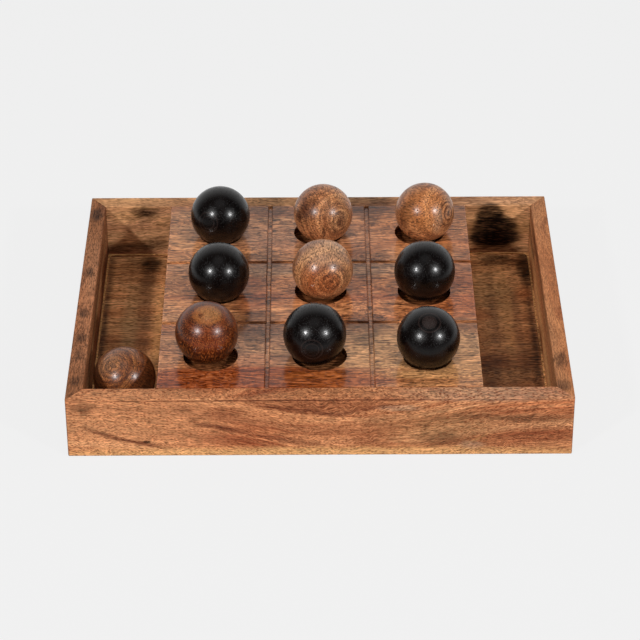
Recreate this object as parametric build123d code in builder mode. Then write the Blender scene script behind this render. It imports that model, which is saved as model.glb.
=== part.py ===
from build123d import *
import math
import os

# A tic-tac-toe tray in oiled hardwood. A mitred box holds a playing board in the middle
# and a storage well at each end, and ten turned balls are the playing pieces.
# Millimetres, X to the right, Y to the back, Z up, origin under the middle of the tray.

# Playing board
cell_width = 64.5
cell_depth = 70.0
board_thickness = 18.0
board_edge_round = 0.8

# Grooves between the cells, cut with a blunt V cutter
groove_width = 3.2
groove_floor_width = 0.8
groove_depth = 1.4
column_groove_inset = 0.75

# Flat-bottomed recess bored in each cell
recess_diameter = 33.0
recess_depth = 4.5
recess_outset = 1.1

# Balls
ball_diameter = 38.0
ball_gap = 0.2
ball_side_gap = 0.4

# Rails
tray_height = 41.0
side_rail_thickness = 10.0
end_rail_thickness = 12.0
corner_round = 1.2
arris_round = 0.5

# Storage wells
well_play = 5.25
stored_ball_from_rail = 18.8

# Base panel, let into a rebate under the rails, with a shallow pocket in each well
base_thickness = 4.5
base_lap = 5.0
base_fit_gap = 0.2
pocket_depth = 1.0
pocket_lip = 1.2
pocket_corner_radius = 4.0

# Dividers under the long edges of the board
divider_thickness = 12.0
divider_setback = 0.6

# Brads
brad_diameter = 1.2
brad_head_diameter = 2.2
brad_head_thickness = 0.5
brad_point = 0.5
brad_set = 0.4
mitre_brad_length = 25.0
mitre_brad_spacing = 20.0
base_brad_length = 16.0
base_brad_spacing = 70.0

# Sizes that follow
board_width = 3 * cell_width
inner_depth = 3 * cell_depth
well_width = ball_diameter + well_play
inner_length = board_width + 2 * well_width
tray_length = inner_length + 2 * side_rail_thickness
tray_depth = inner_depth + 2 * end_rail_thickness
well_centre = (board_width + well_width) / 2
board_underside = tray_height - board_thickness
divider_centre = (board_width - divider_thickness) / 2 - divider_setback
base_length = inner_length + 2 * base_lap
base_depth = inner_depth + 2 * base_lap
pocket_floor = base_thickness - pocket_depth
column_groove = cell_width / 2 - column_groove_inset
row_groove = cell_depth / 2
column_pitch = cell_width + recess_outset
row_pitch = cell_depth + recess_outset

# A ball stands on its recess's floor, or on the rim where the recess is too small for that
ball_radius = ball_diameter / 2
recess_radius = recess_diameter / 2
rim_seat = math.sqrt(max(ball_radius**2 - recess_radius**2, 0))
seat_height = max(ball_radius - recess_depth, rim_seat)
recess_play = recess_radius - math.sqrt(ball_radius**2 - seat_height**2)
lean_reach = max(recess_play - ball_side_gap, 0)

# Each ball on the board: its column, its row, and the way and share of the play
# by which it stands off the middle of its recess
board_balls = {
    "dark_ball_1": (-1, 1, -45, 0.90),
    "light_ball_1": (0, 1, -6, 0.80),
    "light_ball_2": (1, 1, 15, 0.80),
    "dark_ball_2": (-1, 0, -10, 0.90),
    "light_ball_3": (0, 0, 50, 0.95),
    "dark_ball_3": (1, 0, 75, 0.10),
    "light_ball_4": (-1, -1, 125, 0.93),
    "dark_ball_4": (0, -1, 166, 0.77),
    "dark_ball_5": (1, -1, -100, 0.95),
}
stored_ball = "light_ball_5"


def brad(length):
    """A headed brad, the top of its head on XY and its shank running down from it."""
    with BuildPart() as nail:
        with BuildSketch():
            Circle(brad_head_diameter / 2)
        extrude(amount=-brad_head_thickness)
        with BuildSketch():
            Circle(brad_diameter / 2)
        extrude(amount=-length)
        chamfer(nail.faces().sort_by(Axis.Z)[0].edges(), brad_point)
    return nail.part


# The side faces and the underside of the tray, looking outwards
side_faces = [
    Plane(origin=(side * tray_length / 2, 0, tray_height / 2), x_dir=(0, 1, 0), z_dir=(side, 0, 0))
    for side in (-1, 1)
]
underside = -Plane.XY

# Brads across the mitres, two at each corner, with their heads set below the side faces
with BuildPart() as mitre_brads:
    with Locations(*[face.offset(-brad_set) for face in side_faces]):
        with GridLocations(tray_depth - end_rail_thickness, mitre_brad_spacing, 2, 2):
            add(brad(mitre_brad_length))

# Brads up through the base panel, into the rails and the dividers
with BuildPart() as base_brads:
    with Locations(underside):
        with GridLocations(base_brad_spacing, base_depth - base_lap, 4, 2):
            add(brad(base_brad_length))
        with GridLocations(base_length - base_lap, base_brad_spacing, 2, 3):
            add(brad(base_brad_length))
        with GridLocations(2 * divider_centre, base_brad_spacing, 2, 3):
            add(brad(base_brad_length))

# The four rails as one ring, before the mitres part them
with BuildPart() as rail_ring:
    with BuildSketch():
        Rectangle(tray_length, tray_depth)
        fillet(vertices(), corner_round)
        Rectangle(inner_length, inner_depth, mode=Mode.SUBTRACT)
    extrude(amount=tray_height)
    fillet(rail_ring.faces().sort_by(Axis.Z)[-1].edges(), arris_round)
    fillet(rail_ring.faces().sort_by(Axis.Z)[0].outer_wire().edges(), arris_round)
    # Rebate for the base panel
    with BuildSketch():
        Rectangle(base_length + 2 * base_fit_gap, base_depth + 2 * base_fit_gap)
    extrude(amount=base_thickness, mode=Mode.SUBTRACT)
    # Brad holes
    with Locations(*side_faces):
        with GridLocations(tray_depth - end_rail_thickness, mitre_brad_spacing, 2, 2):
            Hole(brad_head_diameter / 2, brad_set)
    add(mitre_brads.part, mode=Mode.SUBTRACT)
    add(base_brads.part, mode=Mode.SUBTRACT)


def mitred_rail(corners):
    """The rail that two mitre cuts leave of the ring, between four corners seen from above."""
    with BuildPart() as rail:
        add(rail_ring.part)
        with BuildSketch():
            with BuildLine():
                Polyline(*corners, close=True)
            make_face()
        extrude(amount=tray_height, mode=Mode.INTERSECT)
    return rail


def corner(right, back, length, depth):
    """A corner of a centred rectangle, with right and back either -1 or 1."""
    return (right * length / 2, back * depth / 2)


outer = {(x, y): corner(x, y, tray_length, tray_depth) for x in (-1, 1) for y in (-1, 1)}
inner = {(x, y): corner(x, y, inner_length, inner_depth) for x in (-1, 1) for y in (-1, 1)}
rails = {
    "front_rail": [(-1, -1), (1, -1)],
    "back_rail": [(-1, 1), (1, 1)],
    "left_rail": [(-1, -1), (-1, 1)],
    "right_rail": [(1, -1), (1, 1)],
}
rails = {
    name: mitred_rail([outer[start], outer[end], inner[end], inner[start]])
    for name, (start, end) in rails.items()
}

# Base panel, flush with the undersides of the rails
with BuildPart() as base_panel:
    with BuildSketch():
        Rectangle(base_length, base_depth)
    extrude(amount=base_thickness)
    with BuildSketch(Plane.XY.offset(base_thickness)):
        with Locations((-well_centre, 0), (well_centre, 0)):
            RectangleRounded(
                well_width - 2 * pocket_lip, inner_depth - 2 * pocket_lip, pocket_corner_radius
            )
    extrude(amount=-pocket_depth, mode=Mode.SUBTRACT)
    add(base_brads.part, mode=Mode.SUBTRACT)

# Dividers, which carry the board and wall off the wells
dividers = {}
for name, side in (("left_divider", -1), ("right_divider", 1)):
    with BuildPart() as divider:
        with BuildSketch(Plane.XY.offset(base_thickness)):
            with Locations((side * divider_centre, 0)):
                Rectangle(divider_thickness, inner_depth)
        extrude(amount=board_underside - base_thickness)
        add(base_brads.part, mode=Mode.SUBTRACT)
    dividers[name] = divider

# Playing board, flush with the tops of the rails
with BuildPart() as play_board:
    with BuildSketch(Plane.XY.offset(board_underside)):
        Rectangle(board_width, inner_depth)
    extrude(amount=board_thickness)
    top = play_board.faces().sort_by(Axis.Z)[-1]
    fillet(top.edges().filter_by(Axis.Y), board_edge_round)
    # Recesses
    with Locations((0, 0, tray_height)):
        with GridLocations(column_pitch, row_pitch, 3, 3):
            Hole(recess_radius, recess_depth)
    # Grooves, each way
    for plane, spacing, run in (
        (Plane.XZ, column_groove, inner_depth),
        (Plane.YZ, row_groove, board_width),
    ):
        with BuildSketch(plane):
            for side in (-1, 1):
                with BuildLine():
                    Polyline(
                        (side * spacing - groove_width / 2, tray_height),
                        (side * spacing - groove_floor_width / 2, tray_height - groove_depth),
                        (side * spacing + groove_floor_width / 2, tray_height - groove_depth),
                        (side * spacing + groove_width / 2, tray_height),
                        close=True,
                    )
                make_face()
        extrude(amount=run / 2, both=True, mode=Mode.SUBTRACT)


def ball(x, y, z):
    """A turned ball about the point (x, y, z)."""
    with BuildPart() as turned:
        with Locations((x, y, z)):
            Sphere(ball_radius)
    return turned


balls = {
    name: ball(
        column * column_pitch + share * lean_reach * math.cos(math.radians(lean)),
        row * row_pitch + share * lean_reach * math.sin(math.radians(lean)),
        tray_height + seat_height + ball_gap,
    )
    for name, (column, row, lean, share) in board_balls.items()
}
balls[stored_ball] = ball(
    -well_centre,
    stored_ball_from_rail + ball_radius - inner_depth / 2,
    pocket_floor + ball_radius + ball_gap,
)

pieces = {
    **rails,
    "base_panel": base_panel,
    **dividers,
    "play_board": play_board,
    "mitre_brads": mitre_brads,
    "base_brads": base_brads,
    **balls,
}

os.makedirs("parts", exist_ok=True)
for name, piece in pieces.items():
    piece.part.label = name
    export_step(piece.part, f"parts/{name}.step")
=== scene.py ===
"""Dresses a tic-tac-toe tray of oiled hardwood, with dark and light turned balls as its men.

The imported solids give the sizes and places. Each visible piece is remodelled with worn
arrises, ragged grooves and a turner's roundness, and wears a wood that follows its grain.
Lengths are in millimetres, and become metres where a mesh or a node needs them.
"""

from __future__ import annotations

import logging
import math
from dataclasses import dataclass, field
from enum import Enum
from functools import partial

import bmesh
import bpy
from mathutils import Matrix, Vector, noise

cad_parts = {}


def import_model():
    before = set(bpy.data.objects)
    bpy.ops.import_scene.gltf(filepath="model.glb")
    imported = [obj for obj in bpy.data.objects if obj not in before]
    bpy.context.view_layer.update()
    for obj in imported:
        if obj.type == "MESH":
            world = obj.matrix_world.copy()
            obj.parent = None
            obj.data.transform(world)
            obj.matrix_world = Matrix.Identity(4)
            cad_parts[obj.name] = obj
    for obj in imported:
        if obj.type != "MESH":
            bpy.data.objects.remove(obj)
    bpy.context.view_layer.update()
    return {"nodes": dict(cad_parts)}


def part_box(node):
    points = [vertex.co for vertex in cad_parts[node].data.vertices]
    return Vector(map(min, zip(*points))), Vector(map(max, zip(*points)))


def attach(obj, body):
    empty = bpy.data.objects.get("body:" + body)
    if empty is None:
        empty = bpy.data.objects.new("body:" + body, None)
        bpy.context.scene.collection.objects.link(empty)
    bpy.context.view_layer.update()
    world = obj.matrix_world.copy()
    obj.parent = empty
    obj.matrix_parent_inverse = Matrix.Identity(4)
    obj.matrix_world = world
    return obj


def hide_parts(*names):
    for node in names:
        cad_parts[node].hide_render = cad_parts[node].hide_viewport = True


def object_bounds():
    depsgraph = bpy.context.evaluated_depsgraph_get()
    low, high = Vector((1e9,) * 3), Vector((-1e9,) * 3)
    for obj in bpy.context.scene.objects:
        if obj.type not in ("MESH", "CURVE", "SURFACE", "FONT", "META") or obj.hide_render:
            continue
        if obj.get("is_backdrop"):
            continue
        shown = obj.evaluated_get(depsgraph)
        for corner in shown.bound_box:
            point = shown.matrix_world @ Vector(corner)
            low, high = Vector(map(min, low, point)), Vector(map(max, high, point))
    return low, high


MM = 0.001
TRAY = "tray"

Colour = tuple[float, float, float, float]
Point = tuple[float, float, float]
Pair = tuple[float, float]
Settings = dict[int | str, object]
Tree = bpy.types.NodeTree
Node = bpy.types.Node
Source = bpy.types.NodeSocket | bpy.types.Node
Piece = bpy.types.Object
Shape = bmesh.types.BMesh

log = logging.getLogger(TRAY)


def linear(hex_colour: str) -> Colour:
    """Turn an sRGB hex colour into linear light.

    Args:
        hex_colour: six hex digits after a hash, such as "#C4834F".

    Returns:
        Red, green, blue and an alpha of 1.
    """
    values = [int(hex_colour[i : i + 2], 16) / 255 for i in (1, 3, 5)]
    red, green, blue = (v / 12.92 if v <= 0.04045 else ((v + 0.055) / 1.055) ** 2.4 for v in values)
    return (red, green, blue, 1.0)


def add_node(tree: Tree, kind: str, inputs: Settings | None = None, **settings: object) -> Node:
    """Add a node to a tree with its settings, values and links.

    Args:
        tree: the node tree that takes the node.
        kind: the node's type, without its ShaderNode prefix.
        inputs: for each input's name or number, a value, the output to link from, or a node
            to link its first output from.
        **settings: the node's own properties.

    Returns:
        The new node.
    """
    node = tree.nodes.new("ShaderNode" + kind)
    for name, value in settings.items():
        setattr(node, name, value)
    for key, value in (inputs or {}).items():
        source = value.outputs[0] if isinstance(value, bpy.types.Node) else value
        if isinstance(source, bpy.types.NodeSocket):
            tree.links.new(source, node.inputs[key])
        else:
            node.inputs[key].default_value = source
    return node


def blank_tree(holder: bpy.types.Material | bpy.types.World) -> Tree:
    """Give a new material or world an empty node tree.

    Args:
        holder: the material or the world.

    Returns:
        Its node tree.
    """
    holder.use_nodes = True
    holder.node_tree.nodes.clear()
    return holder.node_tree


class Face(Enum):
    """A face that a mark lies on: the axes along it, across it and into the wood."""

    TOP = (0, 1, 2)
    TOP_LENGTHWISE = (1, 0, 2)
    FRONT = (0, 2, 1)
    SIDE = (1, 2, 0)


class Tone(Enum):
    """The colours of the marks, named for what makes them."""

    SCORCH = "#0D0604"
    TOAST = "#2A180D"
    BARK = "#1F110A"
    GUM_LINE = "#4A2518"
    RED_HEART = "#7C3C22"
    ORANGE_HEART = "#A8582C"
    ORANGE_LIGHT = "#C67A40"
    GREY_SAP = "#A98D74"
    GOLDEN_SAP = "#C9935C"
    PALE_SAP = "#E2AA70"
    TAN_SAP = "#E8A976"
    RUSSET = "#8A3606"
    LINE_RED = "#5E3020"
    # Bare wood in the bores, darkened further as painted shade
    BARE_BORE_AND_SHADE = "#5C3218"
    OLIVE = "#A5855A"
    SHADE = "#5A3A26"
    # Painted light on the column grooves' floors
    GROOVE_PAINTED_LIGHT = "#BC8663"
    WORN_STAIN = "#2E2320"


def stretched_noise(
    tree: Tree,
    point: Source,
    lengths: Point,
    detail: float = 0.0,
    roughness: float = 0.5,
    flat: bool = False,
) -> Node:
    """Add a noise whose cells have real lengths.

    Args:
        tree: the material's node tree.
        point: the point, in millimetres.
        lengths: a cell's length, depth and height, in millimetres.
        detail: how many finer layers the noise has.
        roughness: how strong each finer layer is beside the last.
        flat: True to leave the height out.

    Returns:
        The noise node.
    """
    cells = add_node(tree, "VectorMath", {0: point, 1: lengths}, operation="DIVIDE")
    inputs = {"Vector": cells, "Scale": 1.0, "Detail": detail, "Roughness": roughness}
    return add_node(tree, "TexNoise", inputs, noise_dimensions="2D" if flat else "3D")


def follow(tree: Tree, along: Source, path: tuple[Pair, ...]) -> tuple[Node, Node]:
    """Add the nodes that follow a smooth path.

    Args:
        tree: the material's node tree.
        along: how far along the path a point lies, in millimetres.
        path: places along and across, in millimetres.

    Returns:
        The share of the path passed, from 0 to 1, and how far across the path lies there.
    """
    margin = 1.0
    start, end = path[0][0], path[-1][0]
    sides = [side for _, side in path]
    low, high = min(sides) - margin, max(sides) + margin
    share = add_node(tree, "MapRange", {0: along, 1: start, 2: end, 3: 0.0, 4: 1.0})
    curve = add_node(tree, "FloatCurve", {"Value": share})
    line = curve.mapping.curves[0]
    for _ in path[2:]:
        line.points.new(0.5, 0.5)
    for point, (place, side) in zip(line.points, path):
        point.location = ((place - start) / (end - start), (side - low) / (high - low))
    curve.mapping.update()
    return share, add_node(tree, "MapRange", {0: curve, 1: 0.0, 2: 1.0, 3: low, 4: high})


@dataclass(frozen=True)
class Spot:
    """A soft-edged patch in the wood, such as a knot, a scorch or a stain, or its rim alone."""

    centre: Point
    radii: Point
    tone: Tone
    strength: float = 0.8
    # How far its edge fades, in shares of its radii, and how much the fibres fray it
    softness: float = 0.6
    ragged: float = 1.5
    # How wide its rim is where that shows alone, or 0
    rim: float = 0.0
    tilt: Point = (0.0, 0.0, 0.0)
    # How many growth rings it has, or 0 for an even patch
    rings: float = 0.0

    @classmethod
    def on(
        cls,
        face: Face,
        level: float,
        middle: Pair,
        half: Pair,
        tone: Tone,
        *look: float,
        depth: float = 5.0,
    ) -> Spot:
        """Place a patch on a face.

        Args:
            face: the face.
            level: where the face stands.
            middle: the patch's middle, along and across the face.
            half: half its size, along and across.
            tone: its colour.
            *look: its strength, softness and raggedness.
            depth: how far it reaches into the wood.

        Returns:
            The patch.
        """
        centre = dict(zip(face.value, (*middle, level)))
        radii = dict(zip(face.value, (*half, depth)))
        return cls(tuple(centre[i] for i in range(3)), tuple(radii[i] for i in range(3)), tone, *look)

    def mask(self, tree: Tree, place: Source) -> Node:
        """Build the nodes that say how much of the patch shows at a point.

        Args:
            tree: the material's node tree.
            place: the point, in millimetres.

        Returns:
            A value from 0, off the patch, to its strength.
        """
        tilt = tuple(math.radians(a) for a in self.tilt)
        inputs = {"Vector": place, "Location": self.centre, "Rotation": tilt, "Scale": self.radii}
        local = add_node(tree, "Mapping", inputs, vector_type="TEXTURE")
        reach = add_node(tree, "VectorMath", {0: local}, operation="LENGTH").outputs["Value"]
        low, high = 1.0 - self.softness, 1.0 + self.softness
        if self.rim:
            reach = add_node(tree, "Math", {0: reach, 1: 1.0}, operation="SUBTRACT")
            reach = add_node(tree, "Math", {0: reach}, operation="ABSOLUTE")
            low, high = 0.0, self.rim
        inputs = {0: reach, 1: low, 2: high, 3: self.strength, 4: 0.0}
        patch = add_node(tree, "MapRange", inputs, interpolation_type="SMOOTHERSTEP")
        if not self.rings:
            return patch
        valley, ridge = -0.3, 0.8
        turns = add_node(tree, "Math", {0: reach, 1: 2 * math.pi * self.rings}, operation="MULTIPLY")
        lines = add_node(tree, "Math", {0: turns}, operation="SINE")
        lines = add_node(tree, "MapRange", {0: lines, 1: valley, 2: ridge})
        return add_node(tree, "Math", {0: patch, 1: lines}, operation="MULTIPLY")


@dataclass(frozen=True)
class Streak:
    """A dark or pale line in the grain that follows a path over one face."""

    face: Face
    level: float
    path: tuple[Pair, ...]
    width: float
    tone: Tone
    strength: float = 0.8
    reach: float = 6.0
    ragged: float = 0.8

    def mask(self, tree: Tree, place: Source) -> Node:
        """Build the nodes that say how much of the line shows at a point.

        Args:
            tree: the material's node tree.
            place: the point, in millimetres.

        Returns:
            A value from 0, off the line, to its strength.
        """
        axes = add_node(tree, "SeparateXYZ", {0: place}).outputs
        along, across, inward = (axes[i] for i in self.face.value)
        share, centre = follow(tree, along, self.path)
        off = add_node(tree, "Math", {0: across, 1: centre}, operation="SUBTRACT")
        off = add_node(tree, "Math", {0: off}, operation="ABSOLUTE")
        inputs = {0: off, 1: 0.0, 2: self.width, 3: self.strength, 4: 0.0}
        body = add_node(tree, "MapRange", inputs, interpolation_type="SMOOTHSTEP")
        # The ends taper as the square root of a sine does
        taper = add_node(tree, "Math", {0: share, 1: math.pi}, operation="MULTIPLY")
        taper = add_node(tree, "Math", {0: taper}, operation="SINE")
        taper = add_node(tree, "Math", {0: taper, 1: 0.5}, operation="POWER")
        depth = add_node(tree, "Math", {0: inward, 1: self.level, 2: self.reach}, operation="COMPARE")
        shown = add_node(tree, "Math", {0: body, 1: taper}, operation="MULTIPLY")
        return add_node(tree, "Math", {0: shown, 1: depth}, operation="MULTIPLY")


@dataclass(frozen=True)
class Hollow:
    """Wood below a level, such as a bored recess, or above it where the depth is negative."""

    level: float
    depth: float
    tone: Tone
    strength: float = 0.9
    ragged: float = 0.0

    def mask(self, tree: Tree, place: Source) -> Node:
        """Build the nodes that say how much of the darkening shows at a point.

        Args:
            tree: the material's node tree.
            place: the point, in millimetres.

        Returns:
            A value from 0, at the level, to its strength, past the depth.
        """
        height = add_node(tree, "SeparateXYZ", {0: place}).outputs[2]
        inputs = {0: height, 1: self.level - self.depth, 2: self.level, 3: self.strength, 4: 0.0}
        return add_node(tree, "MapRange", inputs)


@dataclass(frozen=True)
class Timber:
    """The colours of one stick: its pale and dark rings, heartwood, sapwood and pores."""

    pale: str
    heart: str
    dark: str
    sap: str
    pore: str


# A noise lies about a half, and nearly all of it between the low and the high
HALF = (0.5, 0.5, 0.5)
NOISE_LOW, NOISE_HIGH = 0.3, 0.7
ACROSS_GRAIN = (0.0, 1.0, 1.0)
# How far a mark's edge frays along x, y and z where its raggedness is 1, in millimetres
FRAY_REACH = (3.0, 2.0, 2.0)
# How far apart in one endless log the sticks are cut, so that no two are alike
STICK_GAP = 1000.0


@dataclass(frozen=True)
class WoodFinish:
    """A hardwood under oil or stain, drawn from its rings, fibres and pores.

    Rings run round a pith that stands off the piece's middle by two distances across
    the grain. Each length is in millimetres.
    """

    name: str
    timber: Timber
    seed: int
    along: Point = (1.0, 0.0, 0.0)
    pith: Pair = (20.0, -90.0)
    # The rings' width, and the length over which a ring's colour changes
    ring_width: float = 11.0
    ring_run: float = 260.0
    # How far the grain bows, and the cells of its bows
    bend: float = 12.0
    bend_cells: Point = (110.0, 42.0, 42.0)
    # How far the fibres wave in restless wood and in calm wood, and the cells of waves and zones
    wave: float = 2.5
    still_wave: float = 0.3
    wave_cells: Point = (6.0, 9.0, 9.0)
    wave_zones: Point = (55.0, 30.0, 30.0)
    # The height that the grain of a swept board gains along its length, if it is not straight
    sweep: tuple[Pair, ...] = ()
    sap_share: float = 0.45
    sap_cells: Point = (120.0, 20.0, 20.0)
    # The thin dark lines of late wood
    line_strength: float = 0.45
    line_width: float = 0.35
    line_run: float = 150.0
    lines_to_a_ring: float = 2.2
    # Acacia's pores are a quarter of a millimetre across, and are drawn coarser to show at all
    pore_length: float = 4.5
    pore_width: float = 0.9
    pore_strength: float = 0.85
    fibre_length: float = 8.0
    fibre_width: float = 0.85
    fibre_strength: float = 0.7
    fray_cells: Point = (7.0, 2.2, 2.2)
    # Faces that the camera sees foreshortened have threads drawn this much wider
    spread: float = 1.0
    roughness: float = 0.45
    pore_roughness: float = 0.25
    specular: float = 0.1
    relief: float = 0.04
    # The level below which the wood was left without oil
    bare_below: float = 0.0
    marks: tuple[Spot | Streak | Hollow, ...] = ()

    def material(self, middle: Vector) -> bpy.types.Material:
        """Make the material.

        Args:
            middle: the point of the piece that the pith is measured from, in millimetres.

        Returns:
            The finished material.
        """
        material = bpy.data.materials.new(self.name)
        tree = blank_tree(material)
        place = add_node(tree, "TexCoord").outputs["Object"]
        place = add_node(tree, "VectorMath", {0: place, "Scale": 1 / MM}, operation="SCALE")
        local = add_node(tree, "VectorMath", {0: place, 1: middle}, operation="SUBTRACT")
        turn = Vector(self.along).rotation_difference(Vector((1, 0, 0))).to_euler()
        stick = (STICK_GAP * self.seed, 0.0, 0.0)
        grain = add_node(tree, "Mapping", {"Vector": local, "Rotation": turn, "Location": stick})
        bowed, waved = self._warp(tree, local, grain)
        fibre, pores = self._threads(tree, waved)
        colour = self._mark(tree, self._rings(tree, bowed), place, grain, fibre)
        self._surface(tree, self._grained(tree, colour, fibre, pores), pores, fibre, place)
        return material

    def _warp(self, tree: Tree, local: Source, grain: Source) -> tuple[Node, Node]:
        """Bend the straight grain into long bows, and its fibres into short waves in places.

        Args:
            tree: the material's node tree.
            local: the point from the piece's middle.
            grain: the point in the grain's own frame.

        Returns:
            The point on the bowed grain, and that on the waved fibres.
        """
        calm, restless = 0.4, 0.58
        if self.sweep:
            along = add_node(tree, "SeparateXYZ", {0: local})
            rise = add_node(tree, "CombineXYZ", {2: follow(tree, along, self.sweep)[1]})
            grain = add_node(tree, "VectorMath", {0: grain, 1: rise}, operation="SUBTRACT")
        slow = stretched_noise(tree, grain, self.bend_cells, detail=1.0).outputs["Color"]
        slow = add_node(tree, "VectorMath", {0: slow, 1: HALF}, operation="SUBTRACT")
        inputs = {0: slow, 1: (0.0, self.bend, self.bend), 2: grain}
        bowed = add_node(tree, "VectorMath", inputs, operation="MULTIPLY_ADD")
        quick = stretched_noise(tree, grain, self.wave_cells).outputs["Color"]
        quick = add_node(tree, "VectorMath", {0: quick, 1: HALF}, operation="SUBTRACT")
        zone = stretched_noise(tree, grain, self.wave_zones)
        inputs = {0: zone, 1: calm, 2: restless, 3: self.still_wave, 4: self.wave}
        zone = add_node(tree, "MapRange", inputs)
        inputs = {0: quick, "Scale": zone.outputs[0]}
        quick = add_node(tree, "VectorMath", inputs, operation="SCALE")
        inputs = {0: quick, 1: ACROSS_GRAIN, 2: bowed}
        return bowed, add_node(tree, "VectorMath", inputs, operation="MULTIPLY_ADD")

    def _rings(self, tree: Tree, bowed: Source) -> Source:
        """Draw the growth rings, the sapwood and the thin dark lines of late wood.

        Args:
            tree: the material's node tree.
            bowed: the point on the bowed grain.

        Returns:
            The colour.
        """
        heart_stop, sap_start, sap_full = 0.45, 0.45, 0.6
        off = add_node(tree, "VectorMath", {0: bowed, 1: (0.0, *self.pith)}, operation="SUBTRACT")
        off = add_node(tree, "VectorMath", {0: off, 1: ACROSS_GRAIN}, operation="MULTIPLY")
        radius = add_node(tree, "VectorMath", {0: off}, operation="LENGTH").outputs["Value"]
        along = add_node(tree, "SeparateXYZ", {0: bowed})
        point = add_node(tree, "CombineXYZ", {0: along, 1: radius})

        cells = (self.ring_run, self.ring_width, 1)
        ring = stretched_noise(tree, point, cells, detail=4.0, roughness=0.6, flat=True)
        ring = add_node(tree, "MapRange", {0: ring, 1: NOISE_LOW, 2: NOISE_HIGH})
        ramp = add_node(tree, "ValToRGB", {0: ring})
        stops = ramp.color_ramp.elements
        stops[0].color = linear(self.timber.dark)
        stops[1].color = linear(self.timber.pale)
        stops.new(heart_stop).color = linear(self.timber.heart)

        sap = stretched_noise(tree, bowed, self.sap_cells, detail=2.0)
        inputs = {0: sap, 1: sap_start, 2: sap_full, 3: 0.0, 4: self.sap_share}
        sap = add_node(tree, "MapRange", inputs)
        inputs = {0: sap, 6: ramp, 7: linear(self.timber.sap)}
        colour = add_node(tree, "Mix", inputs, data_type="RGBA").outputs[2]

        cells = (self.line_run, self.ring_width / self.lines_to_a_ring, 1)
        late = stretched_noise(tree, point, cells, detail=2.0, flat=True)
        late = add_node(tree, "Math", {0: late, 1: HALF[0]}, operation="SUBTRACT")
        late = add_node(tree, "Math", {0: late}, operation="ABSOLUTE")
        width = self.line_width / self.ring_width
        inputs = {0: late, 1: 0.0, 2: width, 3: self.line_strength, 4: 0.0}
        late = add_node(tree, "MapRange", inputs, interpolation_type="SMOOTHSTEP")
        inputs = {0: late, 6: colour, 7: linear(self.timber.dark)}
        return add_node(tree, "Mix", inputs, data_type="RGBA").outputs[2]

    def _threads(self, tree: Tree, waved: Source) -> tuple[Node, Node]:
        """Draw the fibres and the open pores between them.

        Args:
            tree: the material's node tree.
            waved: the point on the waved fibres.

        Returns:
            The fibres' shade, about a half, and how much of a pore there is.
        """
        fewest, most, core, edge = 0.05, 0.5, 0.2, 0.52
        cells = (self.fibre_length, self.fibre_width * self.spread, self.fibre_width)
        fibre = stretched_noise(tree, waved, cells, detail=2.0, roughness=0.7)
        cells = (self.pore_length, self.pore_width * self.spread, self.pore_width)
        cells = add_node(tree, "VectorMath", {0: waved, 1: cells}, operation="DIVIDE")
        cells = add_node(tree, "TexVoronoi", {"Vector": cells, "Scale": 1.0})
        # Half of the cells have a full pore, and the rest a fainter one
        chosen = add_node(tree, "SeparateXYZ", {0: cells.outputs["Color"]})
        chosen = add_node(tree, "MapRange", {0: chosen, 1: fewest, 2: most})
        inputs = {0: cells.outputs["Distance"], 1: core, 2: edge, 3: 1.0, 4: 0.0}
        pores = add_node(tree, "MapRange", inputs, interpolation_type="SMOOTHSTEP")
        return fibre, add_node(tree, "Math", {0: pores, 1: chosen}, operation="MULTIPLY")

    def _grained(self, tree: Tree, colour: Source, fibre: Source, pores: Source) -> Source:
        """Shade the colour by the fibres and darken it in the pores.

        Args:
            tree: the material's node tree.
            colour: the colour of the rings and marks.
            fibre: the fibres' shade.
            pores: how much of a pore there is.

        Returns:
            The colour.
        """
        lift, pore_depth = 0.7, 0.8
        dim, bright = 1.0 - self.fibre_strength, 1.0 + lift * self.fibre_strength
        inputs = {0: fibre, 1: NOISE_LOW, 2: NOISE_HIGH, 3: dim, 4: bright}
        shade = add_node(tree, "MapRange", inputs)
        colour = add_node(tree, "VectorMath", {0: colour, "Scale": shade.outputs[0]}, operation="SCALE")
        shown = add_node(tree, "Math", {0: pores, 1: self.pore_strength}, operation="MULTIPLY")
        inputs = {0: pore_depth, 6: colour, 7: linear(self.timber.pore)}
        pore = add_node(tree, "Mix", inputs, data_type="RGBA").outputs[2]
        return add_node(tree, "Mix", {0: shown, 6: colour, 7: pore}, data_type="RGBA").outputs[2]

    def _mark(self, tree: Tree, colour: Source, place: Source, grain: Source, fibre: Source) -> Source:
        """Lay the piece's own marks over the figure, with edges that the fibres fray.

        Args:
            tree: the material's node tree.
            colour: the colour so far.
            place: the point in the shared frame.
            grain: the point in the grain's frame.
            fibre: the fibres' shade.

        Returns:
            The colour with the marks.
        """
        if not self.marks:
            return colour
        pale_fibre, dark_share, pale_share = 0.65, 1.2, 0.75
        fray = stretched_noise(tree, grain, self.fray_cells, detail=3.0, roughness=0.6)
        inputs = {0: fray.outputs["Color"], 1: HALF}
        fray = add_node(tree, "VectorMath", inputs, operation="SUBTRACT")
        # Dark fibres take more of a mark than pale ones
        inputs = {0: fibre, 1: NOISE_LOW, 2: pale_fibre, 3: dark_share, 4: pale_share}
        thread = add_node(tree, "MapRange", inputs)
        for mark in self.marks:
            inputs = {0: fray, 1: tuple(mark.ragged * reach for reach in FRAY_REACH), 2: place}
            frayed = add_node(tree, "VectorMath", inputs, operation="MULTIPLY_ADD")
            inputs = {0: mark.mask(tree, frayed), 1: thread}
            share = add_node(tree, "Math", inputs, operation="MULTIPLY", use_clamp=True)
            inputs = {0: share, 6: colour, 7: linear(mark.tone.value)}
            colour = add_node(tree, "Mix", inputs, data_type="RGBA").outputs[2]
        return colour

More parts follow.
